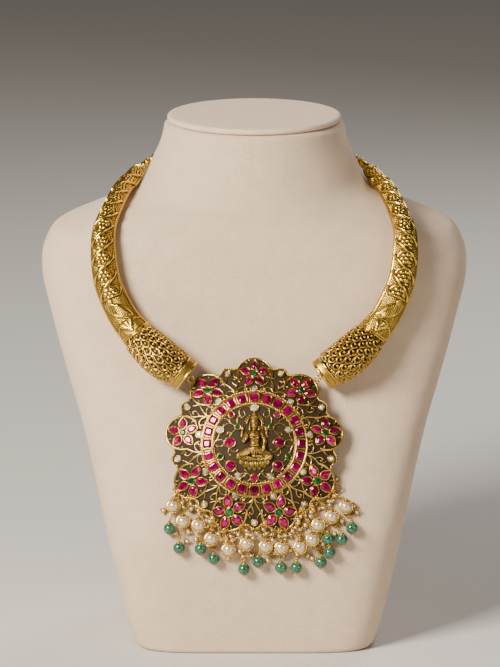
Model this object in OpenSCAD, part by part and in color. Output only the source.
// Temple jewellery necklace on its neck bust
//
// A broad collar of gilt metal. Two embossed arms run over the shoulders, each ends in a
// woven wire sleeve with a milled cap, and two jump rings carry a nine-lobed pendant with
// red, green and white stones round a seated figure, and a fringe of pearls and green beads.
// A plain cable chain closes the collar behind the neck.
//
// +X is the wearer's left, -Y is the front, +Z is up, and the origin is the middle of the
// bust's base. All sizes are in millimetres.

/* [Neck bust] */
// Height from the floor to the top of the neck disc
bust_height = 253.1; // [251:0.1:256]
// Radius of the disc on the neck
neck_disc_r = 43.8; // [42:0.1:44.5]
// Thickness of the disc on the neck
neck_disc_t = 3.2; // [2:0.1:5]

/* [Collar] */
// Height of the bosses on the arms
boss_height = 0.9; // [0:0.1:1.4]
// Number of bosses on each arm
boss_count = 11; // [8:1:13]
// Turn of the bosses round the arm, as a part of one boss
boss_slant = 0.9; // [0:0.1:1.5]
// Height of the knots on the woven sleeve
weave_height = 0.5; // [0:0.1:0.8]
// Outer radius of the milled sleeve cap
cap_r = 8.5; // [8:0.1:9]
// Length of the milled sleeve cap
cap_length = 5.2; // [4:0.1:6]

/* [Pendant] */
// Lean of the pendant, bottom forward, in degrees
lean = 23; // [22:0.5:24]
// Radius of the pendant's dome
dome_r = 88; // [85:1:95]
// Thickness of the backing plate
plate_t = 1.6; // [1.2:0.1:2]
// Number of flowers round the pendant
flower_count = 9; // [9:1:9]
// Distance from the pendant's middle to each flower
flower_at = 35.4; // [35:0.1:36]
// Radius of the wire loop round each flower
loop_r = 8.8; // [8.4:0.1:9]
// Distance from a flower's middle to its petals
petal_at = 5.5; // [5.4:0.05:5.55]
// Length of one petal stone
petal_length = 4.9; // [4.6:0.1:4.9]
// Width of one petal stone
petal_width = 3.9; // [3.6:0.1:4]
// Number of square stones in the ring
square_count = 24; // [24:1:24]
// Radius of the ring through the middles of the square stones
square_at = 23; // [22.8:0.1:23.2]
// Side of one square stone
square_side = 4.1; // [3.8:0.1:4.2]
// Wall of every stone's bezel
bezel_wall = 0.42; // [0.35:0.01:0.45]
// Height of the bezels over the plate
bezel_height = 1; // [0.8:0.1:1.2]

/* [Fringe and chain] */
// Radius of a pearl
pearl_r = 3; // [2.7:0.1:3]
// Radius of a green bead
green_r = 3; // [2.7:0.1:3]
// Radius of the hanging wires
drop_wire_r = 0.27; // [0.25:0.01:0.29]
// Middle radius of a chain link
link_r = 2.6; // [2.5:0.1:2.7]
// Wire radius of a chain link
link_wire_r = 0.6; // [0.5:0.05:0.6]
// Number of links on each side of the clasp
link_count = 15; // [13:1:15]

/* [Hidden] */
$fn = 48;
gold = "goldenrod";
old_gold = "darkgoldenrod";
ruby = "mediumvioletred";
emerald = "darkgreen";
pearl = "ivory";
canvas = "wheat";
fit_gap = 0.3;

// The bust is lofted through level sections. Columns: height, half width, front, back,
// and the exponent that squares the front of the section (2 is an ellipse).
bust_rows = [
    [0, 59, -100.5, 20, 6], [3, 61.3, -101, 21, 6], [12, 64, -101.4, 23, 6],
    [27, 67.7, -101.6, 25, 5.6], [45, 72, -101.4, 27, 5.2], [55, 74.2, -101, 28, 5],
    [62, 75.7, -99.9, 29, 4.8], [70, 77.6, -96.5, 29, 4.6], [80, 80, -91.7, 30, 4.4],
    [96, 84, -83.2, 31, 4.1], [110, 88, -75.5, 32, 3.8], [122, 92, -69.5, 33, 3.6],
    [132, 95, -65, 34, 3.5], [143, 98.4, -61, 35, 3.4], [154, 101.4, -57.8, 36, 3.3],
    [171, 106, -53.6, 38, 3], [181, 107, -51.6, 40, 2.8], [188, 106, -50.4, 41, 2.6],
    [197, 101.4, -49, 42, 2.4], [202, 93.7, -48.4, 43, 2.3], [206, 84, -48, 43.5, 2.2],
    [209, 76.5, -47.6, 44, 2.1], [211, 70, -47.4, 44.3, 2.05], [213.5, 64, -47.3, 44.5, 2],
    [217, 58.5, -47, 45, 2], [222, 54.6, -46.6, 45, 2], [229, 51.9, -46.2, 45, 2],
    [240, 47, -45.4, 45, 2], [249.6, 44.9, -44.7, 44.9, 2]
];
// Height against the line on which the section is widest
bust_widest = [[0, -45], [62, -40], [132, -22], [188, -6], [229, 0], [253, 0]];
bust_sides = 40;

// Route of one arm and its sleeve, from behind the neck to the milled cap.
// Columns: x, y, z, radius.
arm_knots = [
    [58.8, 3.5, 222.8, 3.2], [62.6, -6, 219.4, 3.7], [66.4, -16, 217.2, 3.9], [71.5, -33, 209.6, 4.3],
    [74.6, -42, 202, 5], [75, -47.3, 193.2, 5.6], [73.6, -52.4, 181.3, 6], [70.6, -55.8, 172.4, 6.3],
    [64.8, -60.2, 161.7, 6.6], [59.2, -63.8, 155.3, 7.1], [54.6, -66.8, 150.6, 8.2],
    [46.2, -71, 143.6, 9]
];
cap_axis = unit([-0.8, -0.1, -0.6]);
arm_end = 9.25;
sleeve_start = 9.4;
arm_sides = 14;
arm_rings = 66;
sleeve_sides = 16;
sleeve_rings = 24;

// Place of the pendant: the middle of its back plane
pendant_y = -84.3;
pendant_z = 101.4;
rim_r = 44;
dome_z = plate_t - sqrt(dome_r * dome_r - rim_r * rim_r);
// Phase of the petals of each flower, starting at the top and going round to the left
petal_phase = [90, -90, 90, -80, 100, 80, 110, 90, -90];
centre_stone_r = 1.7;
outer_white_at = 38;
inner_white_at = 27.4;
small_stone_r = 1.25;
wire_w = 0.7;
stem_r = 9;
plate_r = 39.4;
bump_r = 3.2;

// Round stones in the medallion. Columns: x, y, radius.
medallion_whites = [[0, 17.7, 1.7], [-16.6, 6.7, 1.35], [16.6, 6.7, 1.35],
                    [-7.9, -16.2, 1.45], [7.9, -16.2, 1.45]];
medallion_emeralds = [[-8.2, 8, 1.2], [8.2, 8, 1.2], [-16.6, -6.6, 1.3], [16.6, -6.6, 1.3]];
medallion_garnets = [[-11.2, 14.1, 1.3], [11.2, 14.1, 1.3], [0, -17, 1.7]];
// Oval stones in the medallion. Columns: x, y, half width, half height.
medallion_ovals = [[-12, 0.3, 2.55, 2.1], [12, 0.3, 2.55, 2.1],
                   [-11.5, -11.2, 2.3, 2.3], [11.5, -11.2, 2.3, 2.3]];

// Ears of the pendant, and the jump rings that hold them
ear_r = 1.2;
ear_wire_r = 0.4;
ear_turn = 150;
jump_r = 1.5;
jump_wire_r = 0.35;
swing_slack = 0.08;
ear_local = flower_at * [cos(130), sin(130)] + (loop_r + 1.2) * [cos(ear_turn), sin(ear_turn)];
ear_z = 1.5;
ear_post = [1.4, -2];
ear_left = at_pendant([ear_local.x, ear_local.y, ear_z]);
swing_y = ear_left.y;
swing_z = ear_left.z + ear_r - ear_wire_r - jump_wire_r - swing_slack;
jump_left = [ear_left.x, swing_y, swing_z + jump_r];
jump_right = [-jump_left.x, jump_left.y, jump_left.z];
eye_r = 0.95;
eye_right = jump_right - (jump_r + eye_r - jump_wire_r - ear_wire_r - 0.17) * cap_axis;
cap_start = eye_right - (cap_length + 0.6) * cap_axis;
arm_route = concat(arm_knots, [concat(cap_start - 0.2 * cap_axis, 8.1)]);

// The fringe. Columns: turn of the eyelet on the rim, then the beads from the top down as
// [pearl number or 0, green bead number or 0, x, z].
drops = [
    [212, [[1, 0, -39.9, 74.7], [0, 1, -41.7, 64.4]]],
    [220, [[2, 0, -35.1, 67.9], [0, 2, -37, 55.2]]],
    [231.5, [[3, 0, -27.5, 66.1], [0, 3, -26.5, 54.8]]],
    [241, [[4, 0, -21.2, 59.8], [0, 4, -20, 49.9]]],
    [250.5, [[5, 0, -12.7, 54.4]]],
    [261, [[6, 0, -3.9, 57.4], [0, 5, -5.1, 44.6]]],
    [277, [[7, 0, 5.6, 56], [0, 6, 1.9, 48.4]]],
    [286, [[8, 0, 13.3, 55.4], [0, 7, 13.1, 45.4]]],
    [299, [[9, 0, 22.5, 55.6], [0, 8, 20.6, 45.4]]],
    [305.5, [[10, 0, 28.5, 59.4], [0, 9, 32.8, 47.9]]],
    [312, [[11, 0, 31.4, 66.2], [0, 11, 36.4, 59.6], [0, 10, 37.1, 52.8]]],
    [318.5, [[12, 0, 38.1, 69.9], [0, 12, 43.1, 59.2]]],
    [329, [[13, 0, 45.1, 74.3], [0, 13, 48, 64.5]]]
];
eyelet_r = 1.1;
eyelet_wire_r = 0.3;
bore_r = 0.5;

// The chain lies on a level arc round the back of the neck
chain_y = -7.6;
chain_r = 59;
chain_z = 225;
end_loop_r = 1.9;
end_loop_wire_r = 0.5;
end_loop_turn = 23.3;
chain_first = 26.5;
chain_step = (2 * (link_r - link_wire_r) - 0.2) / (chain_r * PI / 180);
clasp_turn = chain_first + (link_count - 1) * chain_step + 3.2;

// Small helpers

function unit(v) = v / norm(v);
function polar(r, a) = [r * cos(a), r * sin(a)];
function column(rows, i) = [for (r = rows) [r[0], r[i]]];

// Smooth curve through the rows of a table, s counted in rows
function between(a, b, c, d, t) =
    0.5 * (2 * b + (c - a) * t + (2 * a - 5 * b + 4 * c - d) * t * t
           + (3 * b - a - 3 * c + d) * t * t * t);
function along(rows, s) =
    let (n = len(rows) - 1, k = min(floor(s), n - 1))
    between(rows[max(k - 1, 0)], rows[k], rows[k + 1], rows[min(k + 2, n)], s - k);

// Solid through closed rings of points that run the same way round
module skin(rings) {
    n = len(rings[0]);
    m = len(rings);
    polyhedron(
        points = [for (r = rings) each r],
        faces = [
            for (i = [0 : m - 2], j = [0 : n - 1])
                let (a = i * n + j, b = i * n + (j + 1) % n) each [[a, b + n, b], [a, a + n, b + n]],
            [for (j = [0 : n - 1]) j],
            [for (j = [n - 1 : -1 : 0]) (m - 1) * n + j]
        ]
    );
}

// Ring of wire round the Z axis
module wire_ring(r, wire) {
    rotate_extrude() translate([r, 0]) circle(r = wire, $fn = 24);
}

// Turns what points along +Z to point along v
module aim(v) {
    rotate([0, acos(v.z / norm(v)), atan2(v.y, v.x)]) children();
}

// Rod between two points
module rod(a, b, r) {
    translate(a) aim(b - a) cylinder(r = r, h = norm(b - a), $fn = 24);
}

// The neck bust

function widest(z) = lookup(z, bust_widest);
function half_width(z) = lookup(z, column(bust_rows, 1));
function section_point(w, f, b, e, c, a) =
    let (k = sin(a) > 0 ? min(e, 2.6) : e)
    [w * sign(cos(a)) * pow(abs(cos(a)), 2 / k),
     c + (sin(a) > 0 ? b - c : c - f) * sign(sin(a)) * pow(abs(sin(a)), 2 / k)];

// Front of the bust at a place seen from the front
function chest_y(x, z) =
    let (w = half_width(z), f = lookup(z, column(bust_rows, 2)), e = lookup(z, column(bust_rows, 4)),
         q = min(abs(x) / w, 0.999))
    widest(z) - (widest(z) - f) * pow(1 - pow(q, e), 1 / e);

// Middle of a ball of radius r that lies against the chest
function rest_y(x, z, r) =
    min([for (i = [-3 : 3], j = [-3 : 3])
        let (u = r * i / 3.5, v = r * j / 3.5, d = r * r - u * u - v * v)
        if (d > 0) chest_y(x + u, z + v) - sqrt(d)]) - fit_gap;

module bust() {
    color(canvas) skin([
        for (r = bust_rows)
            [for (i = [0 : bust_sides - 1])
                let (p = section_point(r[1], r[2], r[3], r[4], widest(r[0]), 360 * i / bust_sides))
                [p.x, p.y, r[0]]]
    ]);
}

module neck_disc() {
    rim = 1.3;
    z0 = bust_height - neck_disc_t;
    color(canvas) rotate_extrude($fn = 96) polygon([
        [0, z0], [neck_disc_r - rim, z0],
        for (a = [-90 : 30 : 90])
            [neck_disc_r - rim + rim * cos(a), z0 + neck_disc_t / 2 + (neck_disc_t / 2) * sin(a)],
        [neck_disc_r - rim, bust_height], [0, bust_height]
    ]);
}

// The collar arms and sleeves

function arm_at(s) = along(arm_route, s);
function arm_place(s) = let (p = arm_at(s)) [p.x, p.y, p.z];
function arm_heading(s) =
    s < 0.01 ? -end_axis
    : s > len(arm_route) - 1.03 ? cap_axis
    : unit(arm_place(min(s + 0.05, len(arm_route) - 1)) - arm_place(max(s - 0.05, 0)));
// Direction that faces away from the bust, square to the route
function arm_outward(s) =
    let (p = arm_at(s), t = arm_heading(s),
         lift = max(0, min(1, (p.y + 44) / 40)),
         away = [0.25 * (1 - lift) + 0.35 * lift, -0.9 * (1 - lift), 0.25 * (1 - lift) + 0.95 * lift])
    unit(away - (away * t) * t);
function arm_ring(s, sides, swell) =
    let (p = arm_at(s), t = arm_heading(s), n = arm_outward(s), b = cross(t, n))
    [for (j = [0 : sides - 1])
        let (a = 360 * j / sides, r = p[3] + swell[j])
        [p.x, p.y, p.z] + r * (cos(a) * n + sin(a) * b)];
// Only the side that shows is embossed
function shown(a) = let (c = cos(a)) max(0, min(1, 1.1 + 1.6 * c));
function boss(s, a) =
    boss_height * shown(a) * pow(abs(sin(180 * (boss_count * s / arm_end + boss_slant * a / 360))), 0.7);

module collar_arm() {
    skin([
        for (i = [0 : arm_rings - 1])
            let (s = arm_end * i / (arm_rings - 1))
            arm_ring(s, arm_sides, [for (j = [0 : arm_sides - 1])
                let (a = 360 * j / arm_sides - (j > arm_sides / 2 ? 360 : 0)) boss(s, a)])
    ]);
}

module collar_left() {
    color(gold) mirror([1, 0, 0]) collar_arm();
}

module collar_right() {
    color(gold) collar_arm();
}

module woven_sleeve() {
    last = len(arm_route) - 1.01;
    skin([
        for (i = [0 : sleeve_rings - 1])
            let (s = sleeve_start + (last - sleeve_start) * i / (sleeve_rings - 1))
            arm_ring(s, sleeve_sides, [for (j = [0 : sleeve_sides - 1])
                let (a = 360 * j / sleeve_sides) shown(a) * ((i + j) % 2 == 0 ? weave_height : 0)])
    ]);
}

module sleeve_left() {
    color(old_gold) mirror([1, 0, 0]) woven_sleeve();
}

module sleeve_right() {
    color(old_gold) woven_sleeve();
}

// The cap hangs on the jump ring by its eye, and the sleeve ends just behind it

module sleeve_cap() {
    translate(cap_start) aim(cap_axis) {
        rotate_extrude($fn = 72) polygon([
            [0, 0], [cap_r - 0.5, 0], [cap_r, 0.5], [cap_r, 1.1], [cap_r - 0.5, 1.5],
            [cap_r - 0.5, cap_length - 1.4], [cap_r, cap_length - 1], [cap_r, cap_length - 0.3],
            [cap_r - 0.4, cap_length], [cap_r - 1, cap_length], [cap_r - 2.4, cap_length - 1.6],
            [0, cap_length - 2.2]
        ]);
        cylinder(r = 0.6, h = cap_length - 0.1, $fn = 24);
    }
    // Eye in the plane of the axis and the front-to-back direction
    translate(eye_right) aim(cross(cap_axis, [0, 1, 0])) wire_ring(eye_r, ear_wire_r);
}

module sleeve_cap_left() {
    color(gold) mirror([1, 0, 0]) sleeve_cap();
}

module sleeve_cap_right() {
    color(gold) sleeve_cap();
}

module jump_ring(at) {
    color(gold) translate(at) rotate([90, 0, 0]) wire_ring(jump_r, jump_wire_r);
}

// The end of an arm: a ribbed cap, a ball and a loop for the chain

end_place = arm_place(0);
end_loop = [chain_r * cos(end_loop_turn), chain_y + chain_r * sin(end_loop_turn), chain_z];
end_axis = unit(end_loop - end_place);
end_length = norm(end_loop - end_place);

module collar_end() {
    base_r = arm_route[0][3];
    translate(end_place + 0.15 * end_axis) aim(end_axis) {
        rotate_extrude() polygon([
            [0, 0], [base_r + 0.3, 0], [base_r + 0.5, 0.5], [base_r + 0.3, 1], [base_r, 1.3],
            [base_r + 0.2, 1.9], [base_r - 0.2, 2.5], [base_r - 0.6, 2.8], [base_r - 0.5, 3.4],
            [base_r - 1.2, 4.2], [0.9, 4.9], [0.9, end_length - end_loop_r], [0, end_length - end_loop_r]
        ]);
        translate([0, 0, end_length - end_loop_r - 2.2]) sphere(r = 2);
    }
    translate(end_loop) aim([end_loop.x, end_loop.y - chain_y, 0]) wire_ring(end_loop_r, end_loop_wire_r);
}

module collar_end_left() {
    color(gold) mirror([1, 0, 0]) collar_end();
}

module collar_end_right() {
    color(gold) collar_end();
}

// The chain and its clasp

module chain_half() {
    for (k = [0 : link_count - 1])
        translate([0, chain_y, chain_z]) rotate([0, 0, chain_first + k * chain_step])
            translate([chain_r, 0, 0]) rotate([0, k % 2 == 0 ? 0 : 90, 0]) wire_ring(link_r, link_wire_r);
}

module chain_left() {
    color(gold) mirror([1, 0, 0]) chain_half();
}

module chain_right() {
    color(gold) chain_half();
}

module clasp() {
    ring_x = chain_r * cos(clasp_turn);
    ring_y = chain_y + chain_r * sin(clasp_turn);
    color(gold) {
        translate([-6.9, ring_y + 0.1, chain_z]) rotate([0, 90, 0]) cylinder(r = 2.4, h = 13.8);
        for (side = [-1, 1])
            translate([side * ring_x, ring_y, chain_z]) rotate([0, 90, side * clasp_turn])
                wire_ring(end_loop_r, end_loop_wire_r);
    }
}

// The pendant's own frame: x right, y up its face, z out of its face

module pendant_place() {
    translate([0, pendant_y, pendant_z]) rotate([90 - lean, 0, 0]) children();
}

function at_pendant(p) = [
    p.x,
    pendant_y + p.y * sin(lean) - p.z * cos(lean),
    pendant_z + p.y * cos(lean) + p.z * sin(lean)
];
function dome(x, y) = dome_z + sqrt(dome_r * dome_r - x * x - y * y);
function flower_turn(k) = 90 + 360 * k / flower_count;
function gap_turn(k) = flower_turn(k) + 180 / flower_count;
function petal_turn(k, i) = petal_phase[k] + 72 * i;
function petal_middle(k, i) = polar(flower_at, flower_turn(k)) + polar(petal_at, petal_turn(k, i));
// Distance from the middle to the rim along one direction
function reach(c, r, d) =
    let (s = c * sin(d))
    abs(s) < r && cos(d) > 0 ? c * cos(d) + sqrt(r * r - s * s) : 0;
function rim_at(a) = max([for (k = [0 : flower_count - 1])
    max(reach(flower_at, loop_r, a - flower_turn(k)),
        reach(outer_white_at, bump_r, a - gap_turn(k)), plate_r)]);

module at_polar(r, a) {
    translate(polar(r, a)) rotate(a) children();
}

// Lens of two arcs, the outline of a petal, pointed along x
module lens(length, width) {
    r = (length * length / 4 + width * width / 4) / width;
    intersection() {
        translate([0, r - width / 2]) circle(r = r);
        translate([0, width / 2 - r]) circle(r = r);
    }
}

module band(r, w) {
    difference() {
        circle(r = r);
        circle(r = r - w);
    }
}

// Part of a band, from angle a by an angle of turn under 90
module arc(r, w, a, turn) {
    far = 1.5 * r;
    intersection() {
        band(r, w);
        polygon([[0, 0], polar(far, a), polar(far, a + turn / 2), polar(far, a + turn)]);
    }
}

module plate_outline() {
    circle(r = plate_r);
    for (k = [0 : flower_count - 1]) {
        translate(polar(flower_at, flower_turn(k))) circle(r = loop_r);
        translate(polar(outer_white_at, gap_turn(k))) circle(r = bump_r);
    }
}

// Wire loops round the flowers, and two stems in each gap that bend over to the loops
module vine_lines() {
    for (k = [0 : flower_count - 1]) {
        difference() {
            translate(polar(flower_at, flower_turn(k))) band(loop_r, wire_w);
            translate(polar(inner_white_at, flower_turn(k))) circle(r = small_stone_r + 0.2);
        }
        for (side = [-1, 1]) {
            g = flower_turn(k) + side * 17.5;
            translate(polar(square_at + 2.6, g) + polar(stem_r, g - side * 90)) rotate(g + side * 90)
                arc(stem_r + wire_w / 2, wire_w, side > 0 ? -52 : 0, 52);
        }
    }
}

module round_bezel(r) {
    band(r + 0.1 + bezel_wall, bezel_wall);
}

// Bezels of all stones, which stand higher
module bezel_lines() {
    band(square_at + 2.9, 0.6);
    band(square_at - 2.2, 0.6);
    for (k = [0 : square_count - 1])
        at_polar(square_at, 90 + 360 * k / square_count) difference() {
            square(square_side + 0.16 + 2 * bezel_wall, center = true);
            square(square_side + 0.16, center = true);
        }
    for (k = [0 : flower_count - 1]) {
        translate(polar(flower_at, flower_turn(k))) round_bezel(centre_stone_r);
        translate(polar(outer_white_at, gap_turn(k))) round_bezel(small_stone_r);
        translate(polar(inner_white_at, flower_turn(k))) round_bezel(small_stone_r);
        for (i = [0 : 4])
            translate(petal_middle(k, i)) rotate(petal_turn(k, i)) difference() {
                lens(petal_length + 0.2 + 2 * bezel_wall, petal_width + 0.2 + 2 * bezel_wall);
                lens(petal_length + 0.2, petal_width + 0.2);
            }
    }
    for (s = concat(medallion_whites, medallion_emeralds, medallion_garnets))
        translate([s.x, s.y]) round_bezel(s[2]);
    for (s = medallion_ovals)
        translate([s.x, s.y]) round_bezel(max(s[2], s[3]));
}

// What lies between two domes round the same middle
module dome_layer(low, high) {
    intersection() {
        difference() {
            translate([0, 0, dome_z]) sphere(r = dome_r + high, $fn = 180);
            translate([0, 0, dome_z]) sphere(r = dome_r + low, $fn = 180);
        }
        translate([0, 0, -4]) linear_extrude(24) children();
    }
}

module pendant_frame() {
    color(old_gold) pendant_place() {
        dome_layer(-plate_t, 0) plate_outline();
        dome_layer(-plate_t / 2, bezel_height) {
            vine_lines();
            bezel_lines();
        }
        for (side = [0, 1])
            mirror([side, 0, 0]) {
                translate(concat(ear_local, ear_z)) rotate([0, 90, 0]) wire_ring(ear_r, ear_wire_r);
                rod(concat(ear_local - [0, ear_r], ear_z), concat(ear_local + ear_post, ear_z), 0.45);
            }
        for (d = drops)
            translate(eyelet_place(d)) wire_ring(eyelet_r, eyelet_wire_r);
    }
}

// Stones follow the dome: every point is lifted by the dome's height under it

function outline_round(r, n) = [for (i = [0 : n - 1]) polar(r, 360 * (i + 0.5) / n)];
function outline_oval(a, b, n) = [for (i = [0 : n - 1])
    let (t = 360 * (i + 0.5) / n) [a * cos(t), b * sin(t)]];
function outline_lens(length, width) =
    let (r = (length * length / 4 + width * width / 4) / width, a = asin(length / 2 / r),
         arc = [for (i = [0 : 3]) let (t = a - a * i / 2) [r * sin(t), r * cos(t) - r + width / 2]])
    concat(arc, -arc);
function outline_square(s) = [[s, s], [-s, s], [-s, -s], [s, -s]] / 2;
// Rings of one stone. Columns of steps: height over the plate, size of the outline.
function stone(outline, at, turn, steps) = [
    for (s = steps) [
        for (p = outline)
            let (q = [at.x + s[1] * (p.x * cos(turn) - p.y * sin(turn)),
                      at.y + s[1] * (p.x * sin(turn) + p.y * cos(turn))])
            [q.x, q.y, dome(q.x, q.y) + s[0]]]
];
brilliant = [[0.12, 1], [1.1, 1], [1.75, 0.62]];
cabochon_cut = [[0.12, 1], [1.7, 0.6]];
step_cut = [[0.12, 1], [1.2, 1], [1.5, 0.8], [1.75, 0.52]];

module stones(list) {
    pendant_place() for (s = list) skin(s);
}

module flower_rubies() {
    color(ruby) stones([
        for (k = [0 : flower_count - 1], i = [0 : 4])
            stone(outline_lens(petal_length, petal_width), petal_middle(k, i), petal_turn(k, i), cabochon_cut)
    ]);
}

module flower_emeralds() {
    color(emerald) stones([
        for (k = [0 : flower_count - 1])
            stone(outline_round(centre_stone_r, 8), polar(flower_at, flower_turn(k)), 0, cabochon_cut)
    ]);
}

module ring_rubies() {
    color(ruby) stones([
        for (k = [0 : square_count - 1])
            let (a = 90 + 360 * k / square_count)
            stone(outline_square(square_side), polar(square_at, a), a, step_cut)
    ]);
}

module white_stones() {
    color("white") stones(concat(
        [for (k = [0 : flower_count - 1])
            stone(outline_round(small_stone_r, 8), polar(outer_white_at, gap_turn(k)), 0, cabochon_cut)],
        [for (k = [0 : flower_count - 1])
            stone(outline_round(small_stone_r, 8), polar(inner_white_at, flower_turn(k)), 0, cabochon_cut)],
        [for (s = medallion_whites) stone(outline_round(s[2], 8), [s.x, s.y], 0, cabochon_cut)]
    ));
}

module medallion_rubies() {
    color(ruby) stones(concat(
        [for (s = medallion_garnets) stone(outline_round(s[2], 8), [s.x, s.y], 0, cabochon_cut)],
        [for (s = medallion_ovals) stone(outline_oval(s[2], s[3], 10), [s.x, s.y], 0, brilliant)]
    ));
}

module medallion_emeralds() {
    color(emerald) stones([
        for (s = medallion_emeralds) stone(outline_round(s[2], 8), [s.x, s.y], 0, cabochon_cut)
    ]);
}

// The seated figure, on a lotus, cast in relief

module ball(p, r) {
    translate(p) sphere(r = r, $fn = 10);
}

module limb(p, q, r1, r2) {
    hull() {
        ball(p, r1);
        ball(q, r2);
    }
}

module seated_figure() {
    color(gold) pendant_place() translate([0, 0, dome(0, 0) + 0.1]) intersection() {
        union() {
            // Lotus seat
            hull() {
                ball([-5.5, -11.2, 0.6], 1);
                ball([5.5, -11.2, 0.6], 1);
            }
            for (x = [-7, -4.2, -1.4, 1.4, 4.2, 7])
                limb([x * 0.9, -12.6, 0.8], [x * 1.15, -10.4, 1.2], 0.7, 1);
            // Crossed legs
            limb([6.4, -8.2, 1.2], [-1.5, -9.2, 2], 1.8, 1.2);
            limb([-6.4, -8.2, 1.2], [1.5, -9.4, 2.4], 1.8, 1.2);
            limb([-2, -7, 1], [2, -7, 1], 2.2, 2.2);
            // Trunk, shoulders and breast
            limb([0, -5, 1.4], [0, 0.6, 1.6], 1.7, 2.1);
            limb([-3, 2, 1], [3, 2, 1], 1.3, 1.3);
            ball([-1.4, 0.6, 2.8], 1.1);
            ball([1.4, 0.6, 2.8], 1.1);
            // Neck, head and crown
            limb([0, 2.5, 1.6], [0, 5, 1.8], 0.9, 0.9);
            limb([0, 6, 2.1], [0, 7.4, 2], 1.6, 1.8);
            limb([-1.5, 9, 1.4], [1.5, 9, 1.4], 0.9, 0.9);
            limb([0, 9.6, 1.4], [0, 12.4, 1.2], 1.4, 0.8);
            ball([0, 13.6, 1], 0.8);
            // Arms: the upper pair is raised, the lower pair rests
            for (side = [-1, 1]) {
                limb([side * 3.4, 2.2, 1.2], [side * 5.6, 0.4, 1], 1.1, 0.8);
                limb([side * 5.6, 0.4, 1], [side * 6.2, 4.6, 1.2], 0.8, 0.6);
                ball([side * 6.3, 6, 1.2], 1.1);
                limb([side * 3.2, 1.4, 1.6], [side * 4.6, -2.6, 1.8], 1, 0.8);
                limb([side * 4.6, -2.6, 1.8], [side * 5.4, -5.6, 2.2], 0.8, 0.6);
            }
            // Halo behind the head
            translate([0, 7, 0.5]) rotate_extrude($fn = 20) translate([4.6, 0]) circle(r = 0.45, $fn = 6);
        }
        translate([-15, -20, 0]) cube([30, 40, 8]);
    }
}

// The fringe

function bead_r(b) = b[0] > 0 ? pearl_r : green_r;
function bead_place(b) = [b[2], rest_y(b[2], b[3], bead_r(b)), b[3]];
function eyelet_place(d) = let (r = rim_at(d[0])) concat(polar(r + 0.75, d[0]), dome(r, 0) - 0.6);
hook_drop = 2 * (eyelet_r - eyelet_wire_r) - 0.1;
function hook_place(d) = let (p = eyelet_place(d)) at_pendant([p.x, p.y - hook_drop, p.z]);
// The wire's points: under the hook, then over and under every bead, then the tip
function wire_points(d) =
    let (h = hook_place(d), c = [for (b = d[1]) bead_place(b)], top = c[0] + [0, 0, bead_r(d[1][0]) + 0.5])
    concat([h + eyelet_r * unit([0, top.y - h.y, top.z - h.z])],
           [for (i = [0 : len(c) - 1], s = [1, -1]) c[i] + [0, 0, s * (bead_r(d[1][i]) + 0.4)]]);

module drop_wire(d) {
    p = wire_points(d);
    h = hook_place(d);
    translate(h) rotate([0, 90, 0]) wire_ring(eyelet_r, eyelet_wire_r);
    for (i = [0 : len(p) - 2]) {
        rod(p[i], p[i + 1], drop_wire_r);
        if (i > 0) translate(p[i]) sphere(r = drop_wire_r + 0.08, $fn = 24);
    }
    translate(p[len(p) - 1] - [0, 0, 0.4]) sphere(r = 0.7, $fn = 24);
}

module drop_wires() {
    color(gold) for (d = drops) drop_wire(d);
}

// One bead, drilled for its wire
module drilled_bead(p, r) {
    translate(p) difference() {
        sphere(r = r);
        cylinder(r = bore_r, h = 3 * r, center = true, $fn = 24);
    }
}

module bead(column, number) {
    for (d = drops, b = d[1])
        if (b[column] == number) drilled_bead(bead_place(b), bead_r(b));
}

module pearl_bead(number) {
    color(pearl) bead(0, number);
}

module green_bead(number) {
    color("mediumseagreen") bead(1, number);
}

bust();
neck_disc();
collar_left();
collar_right();
collar_end_left();
collar_end_right();
sleeve_left();
sleeve_right();
sleeve_cap_left();
sleeve_cap_right();
jump_ring(jump_left);  // jump_ring_left
jump_ring(jump_right);  // jump_ring_right
chain_left();
chain_right();
clasp();
pendant_frame();
seated_figure();
flower_rubies();
flower_emeralds();
ring_rubies();
white_stones();
medallion_rubies();
medallion_emeralds();
drop_wires();
pearl_bead(1);  // pearl_01
pearl_bead(2);  // pearl_02
pearl_bead(3);  // pearl_03
pearl_bead(4);  // pearl_04
pearl_bead(5);  // pearl_05
pearl_bead(6);  // pearl_06
pearl_bead(7);  // pearl_07
pearl_bead(8);  // pearl_08
pearl_bead(9);  // pearl_09
pearl_bead(10);  // pearl_10
pearl_bead(11);  // pearl_11
pearl_bead(12);  // pearl_12
pearl_bead(13);  // pearl_13
green_bead(1);  // green_bead_01
green_bead(2);  // green_bead_02
green_bead(3);  // green_bead_03
green_bead(4);  // green_bead_04
green_bead(5);  // green_bead_05
green_bead(6);  // green_bead_06
green_bead(7);  // green_bead_07
green_bead(8);  // green_bead_08
green_bead(9);  // green_bead_09
green_bead(10);  // green_bead_10
green_bead(11);  // green_bead_11
green_bead(12);  // green_bead_12
green_bead(13);  // green_bead_13
